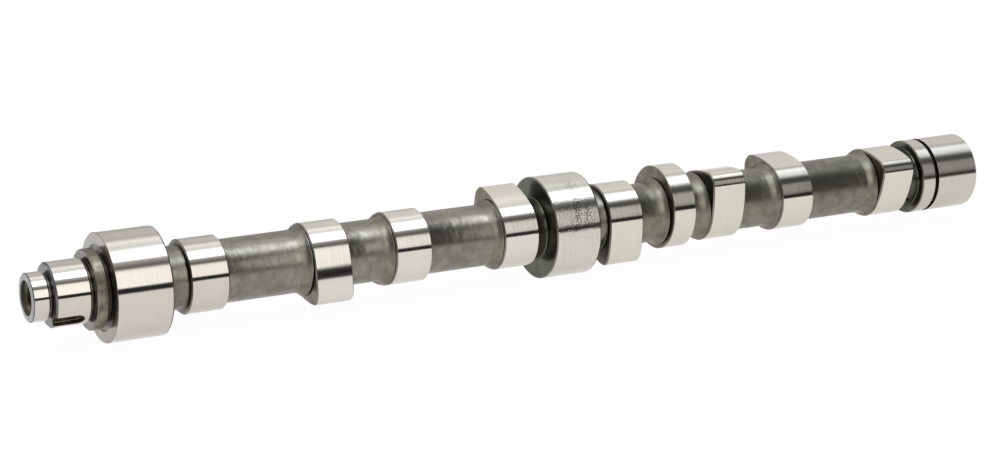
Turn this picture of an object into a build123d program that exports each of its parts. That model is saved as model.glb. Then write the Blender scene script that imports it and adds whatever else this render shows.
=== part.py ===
from build123d import *
import math
import os

# Camshaft of a four-cylinder engine, turned and ground from one forging or casting.
# The shaft lies along X with its front end towards -X, and the origin is on its axis, in the
# middle of the front journal. Angles are measured from straight up, clockwise seen from the front.

# Cam lobes, millimetres
base_circle_diameter = 33.1
inlet_lift = 6.4
exhaust_lift = 5.8
nose_radius = 6.3
flank_radius = 50.0
lobe_width = 17.7
lobe_chamfer = 0.7
inlet_phase = 132.5  # inlet lobe of cylinder 1
lobe_separation = 106.5  # the exhaust lobe leads the inlet lobe by this
firing_order = (1, 3, 4, 2)

# Journals. The front and centre ones clear the sweep of the lobes, so that the shaft goes in
# endways, and the rear one clears the base circle.
front_journal_clearance = 2.1
centre_journal_clearance = 1.3
rear_journal_clearance = 2.7
front_journal_length = 25.2
centre_journal_length = 22.9
rear_journal_length = 32.3
journal_chamfer = 0.5
oil_groove_width = 2.1
oil_groove_depth = 1.5
oil_groove_inset = 7.3  # from the rear journal's front face

# Free lengths of core, from one journal or lobe to the next
front_journal_to_exhaust_1 = 10.55
exhaust_1_to_inlet_1 = 39.7
inlet_1_to_inlet_2 = 22.0
inlet_2_to_exhaust_2 = 36.5
exhaust_2_to_centre_journal = 5.5
centre_journal_to_exhaust_3 = 8.7
exhaust_3_to_eccentric = 15.05
eccentric_to_inlet_3 = 10.35
inlet_3_to_inlet_4 = 21.8
inlet_4_to_exhaust_4 = 38.1
exhaust_4_to_rear_journal = 7.6

# Round eccentric that works the fuel pump
eccentric_over_base = 6.3  # its diameter, past that of the base circle
eccentric_throw = 1.95
eccentric_width = 12.0
eccentric_phase = -17.0
eccentric_chamfer = 0.4

# Core between the lobes, and the flares that run up the front of each lobe
core_step = 2.45  # from the core up to the base circle
root_chamfer = 0.7
flare_radius = 6.0
flare_shortfall = 0.5  # the flare ends this far under the base circle

# Front end, forwards from the front journal's thrust face
thrust_rim = 5.0  # flat width of the thrust face, outside its recess
thrust_recess_depth = 1.2
collar_over_base = 2.2  # its diameter, past that of the base circle
collar_relief_depth = 3.0
collar_relief_length = 1.6
collar_length = 5.1
collar_chamfer = 0.5
seat_diameter = 28.4
seat_relief_depth = 1.2
seat_relief_length = 1.6
seat_length = 15.4
seat_chamfer = 0.8
snout_diameter = 21.4
snout_relief_depth = 1.1
snout_relief_length = 1.7
snout_length = 7.2
snout_chamfer = 0.5
edge_break = 0.3  # rear edges of the seat and the snout

# Keyway in the pulley seat
keyway_width = 6.4
keyway_depth = 2.5
keyway_stop = 2.2  # from the keyway's end to the seat's
keyway_phase = 132.2

# Bolt hole in the front end
bolt_bore_diameter = 10.2
bolt_mouth_step = 2.4
bolt_mouth_depth = 2.6
bolt_bore_depth = 32.0

# Oil hole beside the rear journal, and the centre drilled in the rear face
oil_hole_diameter = 2.8
oil_hole_depth = 9.0
oil_hole_share = 0.66  # of the neck, from the rear journal's front face
oil_hole_phase = 127.5
centre_diameter = 7.0
centre_pilot_diameter = 2.5
centre_pilot_depth = 7.0
centre_angle = 60.0

base_radius = base_circle_diameter / 2
core_radius = base_radius - core_step
lobe_sweep = base_circle_diameter + 2 * max(inlet_lift, exhaust_lift)
front_journal_diameter = lobe_sweep + front_journal_clearance
centre_journal_diameter = lobe_sweep + centre_journal_clearance
rear_journal_diameter = base_circle_diameter + rear_journal_clearance
eccentric_diameter = base_circle_diameter + eccentric_over_base
thrust_recess_diameter = front_journal_diameter - 2 * thrust_rim
collar_diameter = base_circle_diameter + collar_over_base
collar_relief_diameter = collar_diameter - 2 * collar_relief_depth
seat_relief_diameter = seat_diameter - 2 * seat_relief_depth
snout_relief_diameter = snout_diameter - 2 * snout_relief_depth
bolt_mouth_diameter = bolt_bore_diameter + 2 * bolt_mouth_step
keyway_length = seat_length - keyway_stop

# Stations of the middles of the journals and lobes
exhaust_1 = front_journal_length / 2 + front_journal_to_exhaust_1 + lobe_width / 2
inlet_1 = exhaust_1 + lobe_width + exhaust_1_to_inlet_1
inlet_2 = inlet_1 + lobe_width + inlet_1_to_inlet_2
exhaust_2 = inlet_2 + lobe_width + inlet_2_to_exhaust_2
lobe_to_centre = lobe_width / 2 + centre_journal_length / 2
centre_journal = exhaust_2 + exhaust_2_to_centre_journal + lobe_to_centre
exhaust_3 = centre_journal + centre_journal_to_exhaust_3 + lobe_to_centre
lobe_to_eccentric = lobe_width / 2 + eccentric_width / 2
eccentric_station = exhaust_3 + exhaust_3_to_eccentric + lobe_to_eccentric
inlet_3 = eccentric_station + eccentric_to_inlet_3 + lobe_to_eccentric
inlet_4 = inlet_3 + lobe_width + inlet_3_to_inlet_4
exhaust_4 = inlet_4 + lobe_width + inlet_4_to_exhaust_4
rear_journal = exhaust_4 + exhaust_4_to_rear_journal + lobe_width / 2 + rear_journal_length / 2
inlet_stations = {1: inlet_1, 2: inlet_2, 3: inlet_3, 4: inlet_4}
exhaust_stations = {1: exhaust_1, 2: exhaust_2, 3: exhaust_3, 4: exhaust_4}

# Shoulders of the turned shaft, from front to rear
thrust_face = -front_journal_length / 2
collar_rear = thrust_face - collar_relief_length
collar_front = collar_rear - collar_length
seat_rear = collar_front - seat_relief_length
seat_front = seat_rear - seat_length
snout_rear = seat_front - snout_relief_length
snout_front = snout_rear - snout_length
rear_journal_front = rear_journal - rear_journal_length / 2
rear_face = rear_journal + rear_journal_length / 2


def land(front, rear, diameter, front_chamfer, rear_chamfer):
    """Corners of one turned land in half section, with both of its edges chamfered."""
    radius = diameter / 2
    return [
        (front, radius - front_chamfer),
        (front + front_chamfer, radius),
        (rear - rear_chamfer, radius),
        (rear, radius - rear_chamfer),
    ]


def neck(front, rear, radius):
    """Corners of one stretch of smaller size between two shoulders."""
    return [(front, radius), (rear, radius)]


def journal(middle, length, diameter):
    """Corners of one bearing journal."""
    return land(middle - length / 2, middle + length / 2, diameter, journal_chamfer, journal_chamfer)


def radial_plane(station, distance, phase):
    """Plane square to the radius at a phase angle, with its own X along the shaft."""
    turn = math.radians(phase)
    outward = (0, -math.sin(turn), math.cos(turn))
    middle = (station, distance * outward[1], distance * outward[2])
    return Plane(origin=middle, x_dir=(1, 0, 0), z_dir=outward)


def cam_outline(lift):
    """Cam profile: base circle, two long flank arcs and the nose arc, each tangent to the next."""
    nose_centre = base_radius + lift - nose_radius
    to_base = flank_radius - base_radius
    to_nose = flank_radius - nose_radius
    # The flank's centre, from its distances to the centres of the base circle and of the nose
    flank_z = (nose_centre**2 + to_base**2 - to_nose**2) / (2 * nose_centre)
    flank_y = math.sqrt(to_base**2 - flank_z**2)
    flank_centre = Vector(flank_y, flank_z)
    nose_point = Vector(0, nose_centre)
    base_tangent = flank_centre * (-base_radius / to_base)
    nose_tangent = nose_point + (nose_point - flank_centre) * (nose_radius / to_nose)
    middle_of_flank = (base_tangent + nose_tangent) / 2 - flank_centre
    flank_middle = flank_centre + middle_of_flank.normalized() * flank_radius
    tip = Vector(0, nose_centre + nose_radius)
    heel = Vector(0, -base_radius)
    with BuildLine() as outline:
        ThreePointArc(base_tangent, flank_middle, nose_tangent)
        ThreePointArc(nose_tangent, tip, (-nose_tangent.X, nose_tangent.Y))
        ThreePointArc(
            (-nose_tangent.X, nose_tangent.Y), (-flank_middle.X, flank_middle.Y),
            (-base_tangent.X, base_tangent.Y),
        )
        ThreePointArc((-base_tangent.X, base_tangent.Y), heel, base_tangent)
    return outline.line


def valve_lobe(lift):
    """One valve lobe, its nose straight up, centred on the origin."""
    with BuildPart() as lobe:
        with BuildSketch(Plane(origin=(-lobe_width / 2, 0, 0), x_dir=(0, 1, 0), z_dir=(1, 0, 0))):
            add(cam_outline(lift))
            make_face()
        extrude(amount=lobe_width)
        rims = lobe.faces().sort_by(Axis.X)
        chamfer(rims[0].edges() + rims[-1].edges(), lobe_chamfer)
    return lobe.part


inlet_lobe = valve_lobe(inlet_lift)
exhaust_lobe = valve_lobe(exhaust_lift)

# The fuel pump's eccentric, its high side straight up, centred on the origin
with BuildPart() as pump_eccentric:
    with BuildSketch(Plane(origin=(-eccentric_width / 2, 0, 0), x_dir=(0, 1, 0), z_dir=(1, 0, 0))):
        with Locations((0, eccentric_throw)):
            Circle(eccentric_diameter / 2)
    extrude(amount=eccentric_width)
    eccentric_rims = pump_eccentric.faces().sort_by(Axis.X)
    chamfer(eccentric_rims[0].edges() + eccentric_rims[-1].edges(), eccentric_chamfer)

# Every lobe with its station and phase, cylinder by cylinder in the order of firing
lobe_places = []
for turn, cylinder in enumerate(firing_order):
    lag = turn * 360 / len(firing_order)
    lobe_places.append((inlet_lobe, inlet_stations[cylinder], inlet_phase - lag))
    lobe_places.append((exhaust_lobe, exhaust_stations[cylinder], inlet_phase + lobe_separation - lag))

# Where a flare meets the lobe behind it. The lobe behind the front journal and the one behind the
# centre journal have no room for a flare and no need of one.
flared = [inlet_1, inlet_2, exhaust_2, inlet_3, inlet_4, exhaust_4]
flare_ends = [station - lobe_width / 2 for station in flared]
flare_ends.append(eccentric_station - eccentric_width / 2)
flare_height = core_step - flare_shortfall
flare_length = math.sqrt(flare_radius**2 - (flare_radius - flare_height) ** 2)

with BuildPart() as camshaft:
    # The turned shaft, as half a section spun about its axis
    with BuildSketch(Plane.XZ):
        with BuildLine():
            Polyline(
                (snout_front, 0),
                *land(snout_front, snout_rear, snout_diameter, snout_chamfer, edge_break),
                *neck(snout_rear, seat_front, snout_relief_diameter / 2),
                *land(seat_front, seat_rear, seat_diameter, seat_chamfer, edge_break),
                *neck(seat_rear, collar_front, seat_relief_diameter / 2),
                *land(collar_front, collar_rear, collar_diameter, collar_chamfer, collar_chamfer),
                *neck(collar_rear, thrust_face + thrust_recess_depth, collar_relief_diameter / 2),
                (thrust_face, thrust_recess_diameter / 2),
                *journal(0, front_journal_length, front_journal_diameter),
                *neck(front_journal_length / 2, centre_journal - centre_journal_length / 2, core_radius),
                *journal(centre_journal, centre_journal_length, centre_journal_diameter),
                *neck(centre_journal + centre_journal_length / 2, rear_journal_front, core_radius),
                *journal(rear_journal, rear_journal_length, rear_journal_diameter),
                (rear_face, 0),
                close=True,
            )
        make_face()
    revolve(axis=Axis.X)

    for lobe, station, phase in lobe_places:
        with Locations(Location((station, 0, 0), (phase, 0, 0))):
            add(lobe)
    with Locations(Location((eccentric_station, 0, 0), (eccentric_phase, 0, 0))):
        add(pump_eccentric.part)

    # Small chamfer wherever the core runs into a journal, a lobe or the eccentric
    circles = camshaft.edges().filter_by(GeomType.CIRCLE)
    roots = circles.filter_by(lambda edge: abs(edge.radius - core_radius) < 0.001)
    chamfer(roots, root_chamfer)

    # The flares, hollow arcs that leave the core tangentially
    for end in flare_ends:
        with BuildSketch(Plane.XZ):
            with BuildLine():
                TangentArc(
                    (end - flare_length, core_radius), (end, core_radius + flare_height), tangent=(1, 0)
                )
                Polyline(
                    (end, core_radius + flare_height), (end, 0), (end - flare_length, 0),
                    (end - flare_length, core_radius),
                )
            make_face()
        revolve(axis=Axis.X)

    # Oil groove round the rear journal
    with BuildSketch(Plane.XZ):
        with Locations((rear_journal_front + oil_groove_inset, rear_journal_diameter / 2 - oil_groove_depth)):
            Rectangle(oil_groove_width, 2 * oil_groove_depth, align=(Align.MIN, Align.MIN))
    revolve(axis=Axis.X, mode=Mode.SUBTRACT)

    # Keyway, open at the seat's front and round where the cutter stopped
    with BuildSketch(radial_plane(seat_front, seat_diameter / 2 - keyway_depth, keyway_phase)):
        cutter_stop = keyway_length - keyway_width / 2
        with Locations((cutter_stop, 0)):
            Circle(keyway_width / 2)
        Rectangle(cutter_stop, keyway_width, align=(Align.MIN, Align.CENTER))
    extrude(amount=2 * keyway_depth, mode=Mode.SUBTRACT)

    # Bolt hole with its wide mouth, drilled into the front end
    with Locations(Plane(origin=(snout_front, 0, 0), x_dir=(0, 1, 0), z_dir=(-1, 0, 0))):
        CounterBoreHole(
            bolt_bore_diameter / 2, bolt_mouth_diameter / 2, bolt_mouth_depth, depth=bolt_bore_depth
        )

    # Oil hole in the neck before the rear journal
    oil_hole_station = rear_journal_front - oil_hole_share * exhaust_4_to_rear_journal
    with Locations(radial_plane(oil_hole_station, core_radius, oil_hole_phase)):
        Hole(oil_hole_diameter / 2, depth=oil_hole_depth)

    # Centre drilled in the rear face
    with Locations(Plane(origin=(rear_face, 0, 0), x_dir=(0, 1, 0), z_dir=(1, 0, 0))):
        CounterSinkHole(
            centre_pilot_diameter / 2, centre_diameter / 2, depth=centre_pilot_depth,
            counter_sink_angle=centre_angle,
        )

camshaft.part.label = "camshaft"
os.makedirs("parts", exist_ok=True)
export_step(camshaft.part, "parts/camshaft.step")
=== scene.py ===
import math

import bmesh
import bpy
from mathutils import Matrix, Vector


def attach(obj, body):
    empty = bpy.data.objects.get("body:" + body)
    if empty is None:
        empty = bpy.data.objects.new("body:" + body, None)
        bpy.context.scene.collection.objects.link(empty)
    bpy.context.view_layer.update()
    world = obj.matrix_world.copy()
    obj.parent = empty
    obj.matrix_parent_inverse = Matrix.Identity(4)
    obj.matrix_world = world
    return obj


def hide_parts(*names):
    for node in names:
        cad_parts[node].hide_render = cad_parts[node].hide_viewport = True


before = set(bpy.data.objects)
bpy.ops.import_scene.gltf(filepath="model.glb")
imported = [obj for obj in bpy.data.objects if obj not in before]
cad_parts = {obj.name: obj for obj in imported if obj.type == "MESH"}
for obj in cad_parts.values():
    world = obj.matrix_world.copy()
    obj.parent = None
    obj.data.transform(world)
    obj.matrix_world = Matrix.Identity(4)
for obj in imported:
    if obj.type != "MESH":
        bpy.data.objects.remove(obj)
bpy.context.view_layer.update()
bpy.ops.object.select_all(action="DESELECT")


# The camshaft is one casting of hard iron, turned all over in a lathe between centres.
# Its mesh is made the same way, from the front end to the rear: a ring of points is extruded
# from shoulder to shoulder, and each section sets the rings of the part that it describes.
MM = 0.001
RING_POINTS = 256

rings = []  # (station, outline, finish of the strip that leads to this ring)


def bar(radius):
    """Outline of a round section: the same reach all the way round."""
    return lambda angle: radius


def turn_to(finish, *corners):
    """Goes on to each (station, outline or radius) in turn, leaving the finish behind it."""
    for station, outline in corners:
        rings.append((station, bar(outline) if isinstance(outline, float) else outline, finish))


def turn_land(finish, front, rear, outline, edge, rear_edge=None, edge_finish="broken edge"):
    """One cylindrical land, with its edges broken at 45 degrees. outline(trim) is a section."""
    rear_edge = edge if rear_edge is None else rear_edge
    turn_to(edge_finish, (front + edge, outline(0.0)))
    turn_to(finish, (rear - rear_edge, outline(0.0)))
    turn_to(edge_finish, (rear, outline(rear_edge)))


def round_land(diameter):
    return lambda trim: bar(diameter / 2 - trim)


# The front end: a threaded hole for the pulley bolt, a spigot round it, the ground seat of the
# pulley, and a collar that was turned but never ground. Narrow undercuts let the wheel run out.
snout_front = -45.2
snout_rear = -38.0
seat_front = -36.3
seat_rear = -20.9
collar_front = -19.3
collar_rear = -14.2
thrust_face = -12.6
bolt_mouth_radius = 7.5
bolt_mouth_depth = 2.6
bolt_bore_radius = 5.1
bolt_bore_depth = 32.0
thread_pitch = 1.75
thread_depth = 0.75
snout_radius = 10.7
seat_radius = 14.2
collar_radius = 17.65
recess_foot_radius = 14.5
recess_radius = 19.0
front_journal_diameter = 48.0
thrust_edge = 0.2
front_face_edge = 0.3
snout_edge = 0.4
seat_edge = 0.8
rear_corner = 0.3
collar_edge = 0.5


def run_out(front, rear, radius, hollow=0.2):
    """Narrow undercut between two shoulders, with a small hollow in each corner of its floor. Its
    walls and corners are painted nearly black as the shade in them.
    """
    turn_to("undercut", (front, radius), (front + 0.35, radius), (front + 0.5, radius + hollow))
    turn_to("undercut floor", (rear - 0.5, radius + hollow))
    turn_to("undercut", (rear - 0.35, radius), (rear, radius))


# The drilled hole, from its bottom out to the mouth, with the thread as ridges across its wall.
# Below the mouth it is painted nearly black as the shade inside it.
hole_bottom = snout_front + bolt_bore_depth
first_ring = (hole_bottom, 0.4)
turn_to("bore", (hole_bottom - 0.1, bolt_bore_radius))
thread_end = snout_front + bolt_mouth_depth + 0.9
crest = hole_bottom - 6.0
turn_to("bore", (crest, bolt_bore_radius))
while crest - thread_pitch > thread_end:
    turn_to(
        "bore",
        (crest - 0.42 * thread_pitch, bolt_bore_radius + thread_depth),
        (crest - 0.58 * thread_pitch, bolt_bore_radius + thread_depth),
        (crest - 0.94 * thread_pitch, bolt_bore_radius),
        (crest - thread_pitch, bolt_bore_radius),
    )
    crest -= thread_pitch
mouth_floor = snout_front + bolt_mouth_depth
turn_to("bore", (mouth_floor + 0.7, bolt_bore_radius), (mouth_floor, bolt_bore_radius + 0.7))
turn_to("bored mouth", (mouth_floor, bolt_mouth_radius))
turn_to("bored mouth", (snout_front + front_face_edge, bolt_mouth_radius))
turn_to("blue edge", (snout_front, bolt_mouth_radius + front_face_edge))

# Spigot, undercut, seat and undercut
snout_shoulder = snout_front + front_face_edge
turn_to("spigot face", (snout_front, 8.7), (snout_shoulder, snout_radius - snout_edge))
turn_land(
    "ground front", snout_shoulder, snout_rear, round_land(2 * snout_radius),
    snout_edge, rear_corner, "blue edge",
)
run_out(snout_rear, seat_front, 9.4)
turn_to("front face", (seat_front, seat_radius - seat_edge))
turn_land(
    "ground front", seat_front, seat_rear, round_land(2 * seat_radius),
    seat_edge, rear_corner, "blue edge",
)
run_out(seat_rear, collar_front, 12.8)
turn_to("front face", (collar_front, collar_radius - collar_edge))

# Collar and the thrust face behind it, with a shallow recess between the two that is deepest
# round the collar's foot. The recess is painted darker than the thrust face, and nearly black at
# its foot, as the shade in it.
recess_floor_radius = recess_foot_radius + 0.2
turn_land("turned collar", collar_front, collar_rear, round_land(2 * collar_radius), collar_edge)
turn_to("undercut", (collar_rear, recess_foot_radius), (collar_rear + 0.35, recess_foot_radius))
turn_to("undercut", (collar_rear + 0.5, recess_floor_radius))
turn_to("undercut floor", (thrust_face + 0.4, recess_floor_radius))
turn_to("undercut", (thrust_face + 0.7, recess_foot_radius), (thrust_face + 1.2, recess_foot_radius))
turn_to("recess", (thrust_face + 0.45, recess_radius - 0.2), (thrust_face, recess_radius))
turn_to("thrust face", (thrust_face, front_journal_diameter / 2 - thrust_edge))


# The three bearing journals, ground on the same centres as the seat. The front one takes the
# thrust as well, and the rear one has a groove that passes oil up to the rockers.
front_journal_rear = 12.6
centre_journal_front = 197.65
centre_journal_rear = 220.55
rear_journal_front = 404.95
rear_face = 437.25
centre_journal_diameter = 47.2
rear_journal_diameter = 35.8
journal_edge = 0.5
taper_width = 0.55
core_radius = 14.1
root_radius = 0.9
root_angles = [math.radians(90 * step / 5) for step in range(6)]
face_foot = core_radius + root_radius + 0.2


def turn_journal(finish, front, rear, diameter, edge):
    """A large journal. Its rear end tapers slightly, behind a step too small to be seen, and the taper
    is painted dark as shade along the rear edge.
    """
    radius = diameter / 2
    turn_land(finish, front, rear - taper_width, round_land(diameter), edge, rear_edge=0.08)
    turn_to("rolled edge in painted shade", (rear - 0.1, radius - 0.18), (rear, radius - 0.3))


def leave_root(station):
    """Hollow corner where the core starts, behind a face, painted dark as the shade in the corner."""
    turn_to("faced", (station, face_foot))
    for angle in root_angles:
        across = root_radius * (1 - math.sin(angle))
        along = root_radius * (1 - math.cos(angle))
        turn_to("root in painted shade", (station + along, core_radius + across))


def meet_root(station, core):
    """Hollow corner where the core ends, in front of a face: light where it rises, then painted dark
    as the shade in the corner.
    """
    for angle in root_angles:
        across = root_radius * (1 - math.cos(angle))
        along = root_radius * (1 - math.sin(angle))
        finish = core if angle == 0 else "faced" if angle < 1 else "root in painted shade"
        turn_to(finish, (station - along, core_radius + across))
    turn_to("root in painted shade", (station, face_foot))


turn_journal("ground front", thrust_face, front_journal_rear, front_journal_diameter, thrust_edge)
leave_root(front_journal_rear)


# The eight valve lobes and the round eccentric of the fuel pump stand on the core. Each outline is
# a base circle, two flat arcs and a nose, and a mill cutter left a flare up the front of most.
base_radius = 16.55
inlet_lift = 6.4
exhaust_lift = 5.8
nose_radius = 6.3
flank_radius = 50.0
lobe_width = 17.7
lobe_edge = 0.6
eccentric_width = 12.0
eccentric_edge = 0.4
flare_radius = 6.0
flare_height = 1.95
flare_steps = 8
crest_front = 0.7
crest_rear = 0.55


def valve_lobe(phase, lift):
    """Section of a lobe whose nose is at a phase angle, as outline(trim)."""
    nose_centre = base_radius + lift - nose_radius

    def trimmed(trim):
        base, nose, flank = base_radius - trim, nose_radius - trim, flank_radius - trim
        to_base, to_nose = flank - base, flank - nose
        flank_up = (nose_centre**2 + to_base**2 - to_nose**2) / (2 * nose_centre)
        flank_aside = math.sqrt(to_base**2 - flank_up**2)
        ends_at = math.pi - math.atan2(flank_aside, flank_up)
        nose_up = nose_centre + (nose_centre - flank_up) * nose / to_nose
        starts_at = math.atan2(flank_aside * nose / to_nose, nose_up)

        def reach(angle):
            off_nose = abs((angle - math.radians(phase) + math.pi) % math.tau - math.pi)
            if off_nose <= starts_at:
                aside = nose_centre * math.sin(off_nose)
                return nose_centre * math.cos(off_nose) + math.sqrt(nose**2 - aside**2)
            if off_nose < ends_at:
                along = flank_up * math.cos(off_nose) - flank_aside * math.sin(off_nose)
                return along + math.sqrt(along**2 + flank**2 - to_base**2)
            return base

        return reach

    return trimmed


def pump_eccentric(phase, radius=19.7, throw=1.95):
    """Section of the round eccentric, as outline(trim)."""

    def trimmed(trim):
        def reach(angle):
            off_high = angle - math.radians(phase)
            aside = throw * math.sin(off_high)
            return throw * math.cos(off_high) + math.sqrt((radius - trim) ** 2 - aside**2)

        return reach

    return trimmed


def meet_flare(station, core):
    """Hollow flare that climbs from the core to a crest, and the narrow gap between it and a face. The
    crest is painted with a bright highlight, and the gap is painted dark as shade.
    """
    sweep = math.acos(1 - flare_height / flare_radius)
    length = flare_radius * math.sin(sweep) + crest_front
    for step in range(flare_steps + 1):
        angle = sweep * step / flare_steps
        rise = flare_radius * (1 - math.cos(angle))
        along = flare_radius * math.sin(angle)
        turn_to("milled flare" if step else core, (station - length + along, core_radius + rise))
    crest = core_radius + flare_height
    turn_to("painted crest highlight", (station - crest_rear, crest))
    for before_face, below_crest in ((0.3, 0.7), (0.1, 0.9), (0.0, 0.8)):
        turn_to("root in painted shade", (station - before_face, crest - below_crest))


def turn_lobe(finish, middle, width, outline, edge, core):
    """One lobe on the core, from the hollow or flare in front of it to the hollow behind it."""
    front, rear = middle - width / 2, middle + width / 2
    if core == "neck":
        meet_root(front, core)
    else:
        meet_flare(front, core)
    turn_to("lobe face", (front, outline(edge)))
    turn_land(finish, front, rear, outline, edge)
    leave_root(rear)


# Lobes 1 to 4, in front of the centre journal, and what the core before each is like
for finish, middle, phase, lift, core in (
    ("ground front", 32.0, 239.0, exhaust_lift, "neck"),
    ("ground lobe", 89.4, 132.5, inlet_lift, "turned core"),
    ("ground lobe", 129.1, -137.5, inlet_lift, "turned core"),
    ("ground lobe", 183.3, -31.0, exhaust_lift, "turned core"),
):
    turn_lobe(finish, middle, lobe_width, valve_lobe(phase, lift), lobe_edge, core)
meet_root(centre_journal_front, "neck")
turn_to("faced", (centre_journal_front, centre_journal_diameter / 2 - journal_edge))
turn_journal(
    "ground centre", centre_journal_front, centre_journal_rear, centre_journal_diameter, journal_edge
)
leave_root(centre_journal_rear)

# Lobe 5, the eccentric, and lobes 6 to 8
rear_lobe = "ground rear lobe"
turn_lobe(rear_lobe, 238.1, lobe_width, valve_lobe(149.0, exhaust_lift), lobe_edge, "neck")
turn_lobe(rear_lobe, 268.0, eccentric_width, pump_eccentric(-17.0), eccentric_edge, "olive core")
for middle, phase, lift in (
    (293.2, 42.5, inlet_lift),
    (332.7, -47.5, inlet_lift),
    (388.5, 59.0, exhaust_lift),
):
    turn_lobe(rear_lobe, middle, lobe_width, valve_lobe(phase, lift), lobe_edge, "olive core")
# The neck before the rear journal is painted dark as the shade between the last lobe and the journal.
meet_root(rear_journal_front, "neck in painted shade")
turn_to("faced", (rear_journal_front, rear_journal_diameter / 2 - journal_edge))

# The rear journal with its groove, and the turning centre in its end. The groove and the centre
# hole are painted nearly black inside, as shade
groove_front = rear_journal_front + 7.3
groove_rear = groove_front + 2.1
groove_edge = 0.1
groove_radius = 16.4
rear_journal = round_land(rear_journal_diameter)
turn_land("ground rear", rear_journal_front, groove_front, rear_journal, journal_edge, groove_edge)
turn_to("bore", (groove_front, groove_radius + 0.2), (groove_front + 0.2, groove_radius))
turn_to("bore", (groove_rear - 0.2, groove_radius), (groove_rear, groove_radius + 0.2))
turn_to("bore", (groove_rear, rear_journal_diameter / 2 - groove_edge))
turn_land("ground rear", groove_rear, rear_face, rear_journal, groove_edge, journal_edge)
turn_to("faced", (rear_face, 3.5))
turn_to("bore", (rear_face - 3.9, 1.25), (rear_face - 7.0, 1.25))

# The ring chain made into one closed mesh, strip by strip
finishes = []
bpy.ops.mesh.primitive_circle_add(
    vertices=RING_POINTS, radius=first_ring[1] * MM, fill_type="NGON",
    location=(first_ring[0] * MM, 0, 0), rotation=(0, math.pi / 2, 0),
)
camshaft = bpy.context.object
camshaft.name = "camshaft_ground"
bpy.ops.object.transform_apply(location=True, rotation=True, scale=True)
bpy.ops.object.mode_set(mode="EDIT")
bpy.ops.mesh.select_mode(type="FACE")
for station, outline, finish in rings:
    if finish not in finishes:
        finishes.append(finish)
    bpy.ops.mesh.extrude_region_move()
    working = bmesh.from_edit_mesh(camshaft.data)
    end_face = next(face for face in working.faces if face.select)
    for point in end_face.verts:
        angle = math.atan2(-point.co.y, point.co.z)
        reach = outline(angle) * MM
        point.co = (station * MM, -reach * math.sin(angle), reach * math.cos(angle))
    for edge in end_face.edges:
        for face in edge.link_faces:
            if face is not end_face:
                face.material_index = finishes.index(finish)
    bmesh.update_edit_mesh(camshaft.data, loop_triangles=False)
bpy.ops.mesh.select_all(action="SELECT")
bpy.ops.mesh.remove_doubles(threshold=0.00001 * MM)
bpy.ops.mesh.normals_make_consistent(inside=False)
bpy.ops.object.mode_set(mode="OBJECT")


# A keyway is milled into the pulley seat, round where the cutter stopped, and a small oil hole is
# drilled into the neck before the rear journal. Both are cut out with a shape of the tool.
def place_cutter(station, distance, phase):
    """Turns a cutter that stands on the origin outwards, and moves it to its place."""
    turn = math.radians(phase)
    outward = Vector((0, -math.sin(turn), math.cos(turn)))
    cutter = bpy.context.object
    cutter.rotation_euler = (turn, 0, 0)
    cutter.location = Vector((station * MM, 0, 0)) + outward * distance * MM
    bpy.ops.object.transform_apply(location=True, rotation=True, scale=True)
    return cutter


def cut_out(cutter):
    """Takes a cutter's shape out of the camshaft, and throws the cutter away."""
    bpy.ops.object.select_all(action="DESELECT")
    bpy.context.view_layer.objects.active = camshaft
    camshaft.select_set(True)
    cut = camshaft.modifiers.new("cut", "BOOLEAN")
    cut.operation = "DIFFERENCE"
    cut.solver = "EXACT"
    cut.object = cutter
    cut.material_mode = "TRANSFER"
    bpy.ops.object.modifier_apply(modifier=cut.name)
    bpy.data.objects.remove(cutter)


keyway_width = 6.4
keyway_depth = 2.5
keyway_length = 13.2
keyway_phase = 132.2
keyway_corner = 0.35
past_the_shaft = 2.0
bpy.ops.mesh.primitive_circle_add(vertices=48, radius=keyway_width / 2 * MM, fill_type="NGON")
cutter = bpy.context.object
for point in cutter.data.vertices:
    if point.co.x < -0.1 * MM:
        point.co.x = -(keyway_length + past_the_shaft) * MM
        point.co.y = math.copysign(keyway_width / 2 * MM, point.co.y)
bpy.ops.object.mode_set(mode="EDIT")
bpy.ops.mesh.select_all(action="SELECT")
bpy.ops.mesh.remove_doubles(threshold=0.01 * MM)
bpy.ops.mesh.select_all(action="SELECT")
bpy.ops.mesh.extrude_region_move(TRANSFORM_OT_translate={"value": (0, 0, 6 * MM)})
working = bmesh.from_edit_mesh(cutter.data)
for edge in working.edges:
    edge.select_set(all(point.co.z < 0.1 * MM for point in edge.verts))
bpy.ops.mesh.bevel(offset=keyway_corner * MM, segments=3)
bpy.ops.mesh.select_all(action="SELECT")
bpy.ops.mesh.normals_make_consistent(inside=False)
bpy.ops.object.mode_set(mode="OBJECT")
keyway_middle = seat_front + keyway_length - keyway_width / 2
keyway_cutter = place_cutter(keyway_middle, seat_radius - keyway_depth, keyway_phase)

oil_hole_radius = 1.4
oil_hole_station = rear_journal_front - 5.0
oil_hole_phase = 127.5
bpy.ops.mesh.primitive_cylinder_add(vertices=32, radius=oil_hole_radius * MM, depth=18 * MM)
oil_hole_cutter = place_cutter(oil_hole_station, core_radius, oil_hole_phase)


# Finishes. The lands are ground iron. The marks of the wheel run round the shaft, so the metal
# mirrors its surroundings in bands along its length, sharp from band to band and drawn out along
# them. Marks a few microns wide are too fine to show, so they are drawn about a millimetre wide.
def linear(hex_colour):
    """sRGB hex colour as linear red, green, blue and alpha."""
    channels = [int(hex_colour[i : i + 2], 16) / 255 for i in (1, 3, 5)]
    return [c / 12.92 if c <= 0.04045 else ((c + 0.055) / 1.055) ** 2.4 for c in channels] + [1.0]


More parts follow.
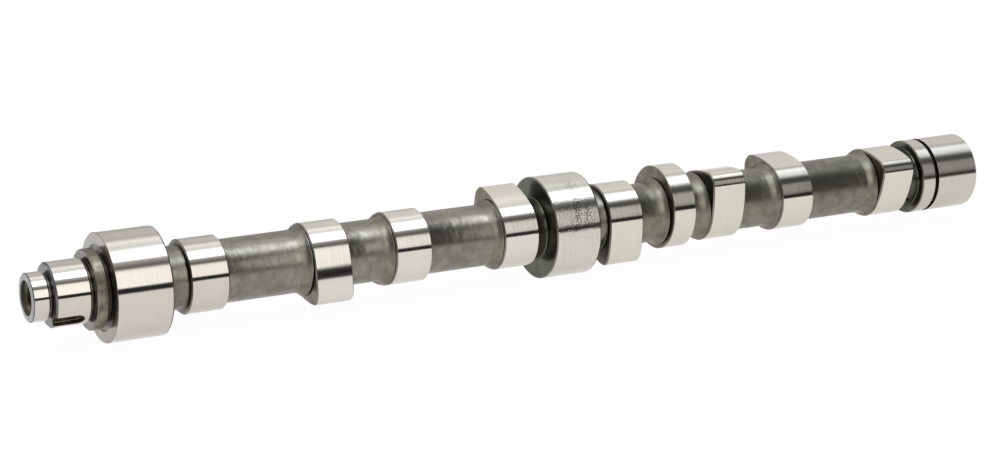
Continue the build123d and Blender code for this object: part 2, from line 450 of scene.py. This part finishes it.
def add_node(tree, kind, inputs=None, **settings):
    """Adds one node with its settings, and sets or links its inputs."""
    made = tree.nodes.new("ShaderNode" + kind)
    for name, value in settings.items():
        setattr(made, name, value)
    for name, value in (inputs or {}).items():
        if isinstance(value, bpy.types.NodeSocket):
            tree.links.new(value, made.inputs[name])
        else:
            made.inputs[name].default_value = value
    return made


def new_finish(name):
    """Empty material with its tree and the object's own coordinates."""
    material = bpy.data.materials.new(name)
    material.use_nodes = True
    tree = material.node_tree
    tree.nodes.clear()
    place = add_node(tree, "TexCoord").outputs["Object"]
    return material, tree, place


def marks_round_shaft(tree, place, across, along, detail=3.0):
    """Noise drawn out round the shaft: across and along are the size of a mark, in millimetres."""
    stretched = add_node(
        tree, "Mapping", {"Vector": place, "Scale": (1000 / across, 1000 / along, 1000 / along)}
    )
    return add_node(
        tree, "TexNoise",
        {"Vector": stretched.outputs[0], "Scale": 1.0, "Detail": detail, "Roughness": 0.6},
    ).outputs[0]


def patches(tree, place, size, detail=3.0):
    """Noise in soft patches, as wide as they are long: size in millimetres."""
    noise = add_node(tree, "TexNoise", {"Vector": place, "Scale": 1000 / size, "Detail": detail})
    return noise.outputs[0]


def spread(tree, value, low, high, to_low, to_high):
    """Maps one range of a value to another."""
    return add_node(
        tree, "MapRange",
        {"Value": value, "From Min": low, "From Max": high, "To Min": to_low, "To Max": to_high},
    ).outputs[0]


def blend(tree, share, first, second):
    """Goes from one colour to another, each a hex value or a socket."""
    first = linear(first) if isinstance(first, str) else first
    second = linear(second) if isinstance(second, str) else second
    return add_node(tree, "MixRGB", {"Fac": share, "Color1": first, "Color2": second}).outputs[0]


def finish_metal(tree, colour, roughness, drawn_out, height, relief):
    """Bare metal with a relief in millimetres. Its marks draw reflections out along the shaft, or
    round it where drawn_out is negative."""
    round_shaft = add_node(tree, "Tangent", direction_type="RADIAL", axis="X").outputs[0]
    bump = add_node(tree, "Bump", {"Height": height, "Strength": 1.0, "Distance": relief * MM})
    shader = add_node(
        tree, "BsdfPrincipled",
        {
            "Metallic": 1.0, "Base Color": colour, "Roughness": roughness, "Normal": bump.outputs[0],
            "Anisotropic": abs(drawn_out), "Anisotropic Rotation": 0.25 if drawn_out > 0 else 0.0,
            "Tangent": round_shaft,
        },
    )
    add_node(tree, "OutputMaterial", {"Surface": shader.outputs[0]})


def smudge(tree, place, station, phase, half_width, half_height):
    """Share, from 1 at its middle to 0 at its rim, of a mark on the centre journal that leans a
    little. The sizes are millimetres, and the phase is degrees round the shaft."""
    angle = math.radians(phase)
    reach = centre_journal_diameter / 2 * MM
    lean = math.radians(13)
    local = add_node(
        tree, "Mapping",
        {
            "Vector": place, "Rotation": (0, lean, 0),
            "Location": (station * MM, -reach * math.sin(angle), reach * math.cos(angle)),
            "Scale": (half_width * MM, 6 * MM, half_height * MM),
        },
        vector_type="TEXTURE",
    )
    ball = add_node(tree, "TexGradient", {"Vector": local.outputs[0]}, gradient_type="SPHERICAL")
    return ball.outputs[1]


speck_colour = "#3a3630"
speck_size = 0.62


def ground_iron(name, light, dark, dullness=0.13, relief=0.012, grain=0.0, smudges=()):
    """Land finished with a grinding wheel: near mirror-bright, with fine lines round the shaft.
    grain roughens it with specks, and each smudge darkens some of them."""
    material, tree, place = new_finish(name)
    bundles = marks_round_shaft(tree, place, 1.2, 18.0)
    lines = marks_round_shaft(tree, place, 0.8, 40.0, detail=2.0)
    wear = patches(tree, place, 11.0)
    speckle = spread(tree, patches(tree, place, speck_size, detail=0.0), 0.35, 0.65, 0.0, 1.0)
    colour = blend(tree, spread(tree, bundles, 0.3, 0.7, 0.0, 1.0), light, dark)
    for *mark, density, darkness in smudges:
        inside = smudge(tree, place, *mark)
        specks = add_node(tree, "Math", {0: inside, 1: density, 2: speckle}, operation="MULTIPLY_ADD")
        shown = spread(tree, specks.outputs[0], 1.0, 1.15, 0.0, darkness)
        colour = blend(tree, shown, colour, speck_colour)
    worn = add_node(tree, "Math", {0: bundles, 1: wear}, operation="ADD").outputs[0]
    roughness = spread(tree, worn, 0.7, 1.3, dullness - 0.01, dullness + 0.01)
    height = add_node(tree, "Math", {0: speckle, 1: grain, 2: lines}, operation="MULTIPLY_ADD")
    finish_metal(tree, colour, roughness, 0.9, height.outputs[0], relief)
    return material


def turned_iron(name, light, dark, dullness, drawn_out, unevenness):
    """Surface left as the lathe or the mill made it: duller, blotched, and uneven by fractions of
    a millimetre, which breaks its highlights up. The marks of the feed are drawn a millimetre
    wide, because the real ones are too fine to show."""
    material, tree, place = new_finish(name)
    feed = marks_round_shaft(tree, place, 1.1, 12.0)
    blotches = patches(tree, place, 5.0, detail=5.0)
    stain = add_node(tree, "Math", {0: feed, 1: 0.4, 2: blotches}, operation="MULTIPLY_ADD")
    colour = blend(tree, spread(tree, stain.outputs[0], 0.55, 0.85, 0.0, 1.0), light, dark)
    roughness = spread(tree, blotches, 0.3, 0.7, dullness - 0.04, dullness + 0.05)
    waves = patches(tree, place, 4.5, detail=1.5)
    uneven = add_node(tree, "Math", {0: feed, 1: 0.02, 2: waves}, operation="MULTIPLY_ADD")
    finish_metal(tree, colour, roughness, drawn_out, uneven.outputs[0], unevenness)
    return material


# Where the centre journal ran in its bearing it is dulled by fine specks, densest in two upright
# streaks: (station, phase, half width, half height, density, darkness)
smudges = [
    (209.1, 62, 40.0, 16.0, 0.85, 0.2),
    (209.3, 64, 2.3, 10.0, 1.0, 0.65),
    (214.4, 64, 2.5, 9.5, 0.85, 0.5),
    (209.8, 40, 3.0, 4.0, 0.7, 0.3),
    (211.4, 27, 5.0, 2.6, 0.7, 0.3),
]
materials = {
    # Ground lands mirror the studio in bands, and are a warm white that turns greener to the rear
    "ground front": ground_iron("ground_front", "#d2cac0", "#cfc7bd", relief=0.01),
    "ground lobe": ground_iron("ground_lobe", "#dcd6cc", "#d9d3c9", relief=0.022),
    "ground centre": ground_iron("ground_centre", "#d5d2c7", "#cdcabf", 0.16, 0.008, 1.2, smudges),
    "ground rear lobe": ground_iron("ground_rear_lobe", "#d8d4c7", "#d5d0c3", relief=0.016),
    "ground rear": ground_iron("ground_rear", "#cbc6bb", "#c8c3b8", 0.19),
    # Ground faces and broken edges are duller, with a bluish cast round the snout and the seat.
    # The journals' rolled rear edges are painted dark, as shade along the rear edge
    "thrust face": turned_iron("thrust_face", "#aaa69c", "#9d998f", 0.2, 0.5, 0.01),
    "broken edge": turned_iron("broken_edge", "#938d82", "#7e786d", 0.35, 0.3, 0.005),
    "rolled edge in painted shade": turned_iron("rolled_edge_painted_shade", "#625f59", "#504d48", 0.3, 0.3, 0.005),
    "blue edge": turned_iron("blue_edge", "#858189", "#6d6a70", 0.35, 0.3, 0.005),
    "spigot face": turned_iron("spigot_face", "#a9a7a9", "#9a9897", 0.3, 0.3, 0.02),
    # The core and its flares are grey with soft highlights that the unevenness breaks up. The neck
    # finish is a little darker than the core, as painted shade in the narrow places by the journals
    "turned core": turned_iron("turned_core", "#8e897e", "#7d786d", 0.21, -0.9, 0.1),
    "olive core": turned_iron("olive_core", "#878476", "#767367", 0.26, -0.9, 0.1),
    "milled flare": turned_iron("milled_flare", "#8a8678", "#757165", 0.38, -0.3, 0.06),
    "neck": turned_iron("neck", "#847f74", "#6f6b61", 0.22, -0.9, 0.05),
    # Other turned faces are brown or olive where oil is left. The neck before the rear journal and
    # the recess are darkened as painted shade, and the flares' crests carry a painted highlight
    "neck in painted shade": turned_iron("neck_painted_shade", "#5d5a52", "#48453e", 0.3, 0.3, 0.03),
    "turned collar": turned_iron("turned_collar", "#958d7d", "#625d50", 0.4, 0.3, 0.14),
    "front face": turned_iron("front_face", "#76746c", "#67655e", 0.2, 0.5, 0.01),
    "faced": turned_iron("faced", "#5f6154", "#515347", 0.22, 0.5, 0.01),
    "lobe face": turned_iron("lobe_face", "#787467", "#645f54", 0.3, 0.3, 0.01),
    "painted crest highlight": turned_iron("flare_crest_painted_highlight", "#b0aca4", "#9c988f", 0.3, 0.0, 0.01),
    "recess": turned_iron("recess", "#6b6860", "#5b5850", 0.22, 0.5, 0.02),
    # Corners, grooves and holes are painted nearly black as the shade in them, and are paler where
    # the tool left them clean
    "root in painted shade": turned_iron("root_painted_shade", "#45423b", "#35322c", 0.25, 0.3, 0.01),
    "undercut": turned_iron("undercut", "#3b3932", "#2c2a24", 0.25, 0.3, 0.01),
    "undercut floor": turned_iron("undercut_floor", "#8d897d", "#716d62", 0.28, 0.3, 0.01),
    "bored mouth": turned_iron("bored_mouth", "#a6a18f", "#88836f", 0.35, 0.3, 0.03),
    "keyway": turned_iron("milled_keyway", "#756f60", "#565144", 0.3, 0.3, 0.02),
    "bore": turned_iron("bore", "#3d3a32", "#25231e", 0.4, 0.0, 0.02),
}
for finish in finishes:
    camshaft.data.materials.append(materials[finish])
# The oil hole takes the bore finish, painted nearly black as the shade inside it.
for cutter, finish in ((keyway_cutter, "keyway"), (oil_hole_cutter, "bore")):
    cutter.data.materials.append(materials[finish])
    cut_out(cutter)

bpy.ops.object.select_all(action="DESELECT")
bpy.context.view_layer.objects.active = camshaft
camshaft.select_set(True)
bpy.ops.object.shade_smooth_by_angle(angle=math.radians(32))
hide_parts("camshaft")
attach(camshaft, "root")


# Table and light: a white table that ends a little in front of the shaft, and a soft studio
# round it with a long softbox overhead and a second one low in front.
bpy.ops.mesh.primitive_plane_add(size=1)
table = bpy.context.object
table.name = "table"
for corner in table.data.vertices:
    corner.co = (-4.0 if corner.co.x < 0 else 4.5, -0.45 if corner.co.y < 0 else 5.0, -0.024)
white = bpy.data.materials.new("white_table")
white.use_nodes = True
tree = white.node_tree
tree.nodes.clear()
rays = add_node(tree, "LightPath")
seen_as_white = 0.96
mirrored_as_white = 0.75
mirrored = add_node(
    tree, "Math", {0: rays.outputs["Is Glossy Ray"], 1: rays.outputs["Is Transmission Ray"]},
    operation="MAXIMUM",
)
mirrored = add_node(tree, "Math", {0: mirrored.outputs[0], 1: mirrored_as_white}, operation="MULTIPLY")
share = add_node(
    tree, "Math", {0: rays.outputs["Is Camera Ray"], 1: seen_as_white, 2: mirrored.outputs[0]},
    operation="MULTIPLY_ADD", use_clamp=True,
)
paper = add_node(tree, "BsdfDiffuse", {"Color": linear("#f4f4f4")})
glow = add_node(tree, "Emission", {"Color": linear("#ffffff"), "Strength": 1.0})
both = add_node(tree, "MixShader", {0: share.outputs[0], 1: paper.outputs[0], 2: glow.outputs[0]})
add_node(tree, "OutputMaterial", {"Surface": both.outputs[0]})
table.data.materials.append(white)

# Brightness of the studio, by the angle round the shaft from straight up towards the front. The
# first list is what lies square to the shaft, and the others what lies further along it.
beside = [
    (-180, 0.50), (-100, 0.47), (-80, 0.50), (-60, 0.72), (-45, 0.73), (-36, 0.64), (-30, 0.90),
    (-24, 1.42), (-4, 1.0), (0, 1.3), (3, 3.8), (22, 3.8), (26, 0.74), (30, 0.56), (35, 0.33),
    (40, 0.18), (43, 0.50), (46, 1.46), (50, 1.62), (56, 1.65), (68, 1.65), (74, 1.60), (79.5, 1.8),
    (82, 0.02), (92.6, 0.02), (93, 1.0), (180, 1.0),
]
between = [
    (-180, 0.80), (-80, 0.62), (-60, 0.86), (-45, 0.90), (-30, 0.98), (-24, 1.18), (-18, 1.08),
    (-12, 0.95), (-8, 1.10), (-4, 3.8), (16, 3.8), (21, 1.8), (27, 0.42), (30, 0.20), (35, 0.13),
    (40, 0.12), (43, 0.18), (46, 0.52), (50, 0.90), (56, 0.95), (62, 1.0), (68, 1.0), (74, 0.95),
    (78, 0.90), (81, 0.03), (92.6, 0.02), (93, 1.0), (180, 1.0),
]
far_along = [
    (-180, 1.0), (-100, 0.9), (-80, 0.70), (-60, 0.85), (-30, 0.88), (-24, 0.72), (-18, 0.48),
    (-12, 1.15), (-8, 1.40), (-4, 1.12), (0, 0.92), (6, 0.68), (12, 0.52), (18, 0.24), (21, 0.13),
    (24, 0.065), (27, 0.045), (30, 0.045), (35, 0.055), (40, 0.055), (43, 0.09), (46, 0.15),
    (50, 0.17), (56, 0.165), (68, 0.16), (74, 0.10), (77, 0.05), (80, 0.02), (83, 0.02),
    (92.6, 0.02), (93, 1.0), (180, 1.0),
]
brightest = 4.0
softbox_front, softbox_rear = 30, -16
softbox_blue = 0.07
world = bpy.data.worlds.new("studio")
bpy.context.scene.world = world
world.use_nodes = True
tree = world.node_tree
tree.nodes.clear()
direction = add_node(tree, "TexCoord").outputs["Generated"]
parts = add_node(tree, "SeparateXYZ", {0: direction})
towards_front = add_node(tree, "Math", {0: parts.outputs["Y"], 1: -1.0}, operation="MULTIPLY")
angle = add_node(
    tree, "Math", {0: towards_front.outputs[0], 1: parts.outputs["Z"]}, operation="ARCTAN2"
)
turn = spread(tree, angle.outputs[0], -math.pi, math.pi, 0.0, 1.0)
lights = []
for stops in (beside, between, far_along):
    ramp = add_node(tree, "ValToRGB", {"Fac": turn})
    colours = ramp.color_ramp.elements
    while len(colours) < len(stops):
        colours.new(0.5)
    for stop, (degrees, level) in zip(colours, stops):
        stop.position = (degrees + 180) / 360
        cool = softbox_blue if softbox_rear < degrees < softbox_front else 0.0
        grey = level / brightest
        stop.color = [grey * (1 - cool), grey, grey * (1 + cool), 1.0]
    lights.append(ramp.outputs[0])
aside = add_node(tree, "Math", {0: parts.outputs["X"]}, operation="ABSOLUTE")
leaves_beside, is_between, is_far_along = 0.32, 0.45, 0.51
to_between = spread(tree, aside.outputs[0], leaves_beside, is_between, 0.0, 1.0)
to_far_along = spread(tree, aside.outputs[0], is_between, is_far_along, 0.0, 1.0)
light = blend(tree, to_far_along, blend(tree, to_between, lights[0], lights[1]), lights[2])
sky = add_node(tree, "Background", {"Color": light, "Strength": brightest})
add_node(tree, "OutputWorld", {"Surface": sky.outputs[0]})
bpy.context.scene.view_settings.view_transform = "Standard"


# Camera: a long lens from the front left, a little above the shaft.
camera_data = bpy.data.cameras.new("camera")
camera_data.lens = 97.1
camera_data.sensor_width = 36.0
camera = bpy.data.objects.new("camera", camera_data)
camera.location = (-0.3699, -1.0585, 0.3299)
camera.rotation_euler = (math.radians(74.561), 0, math.radians(-27.463))
camera_data.clip_end = 20.0
bpy.context.scene.collection.objects.link(camera)
bpy.context.scene.camera = camera
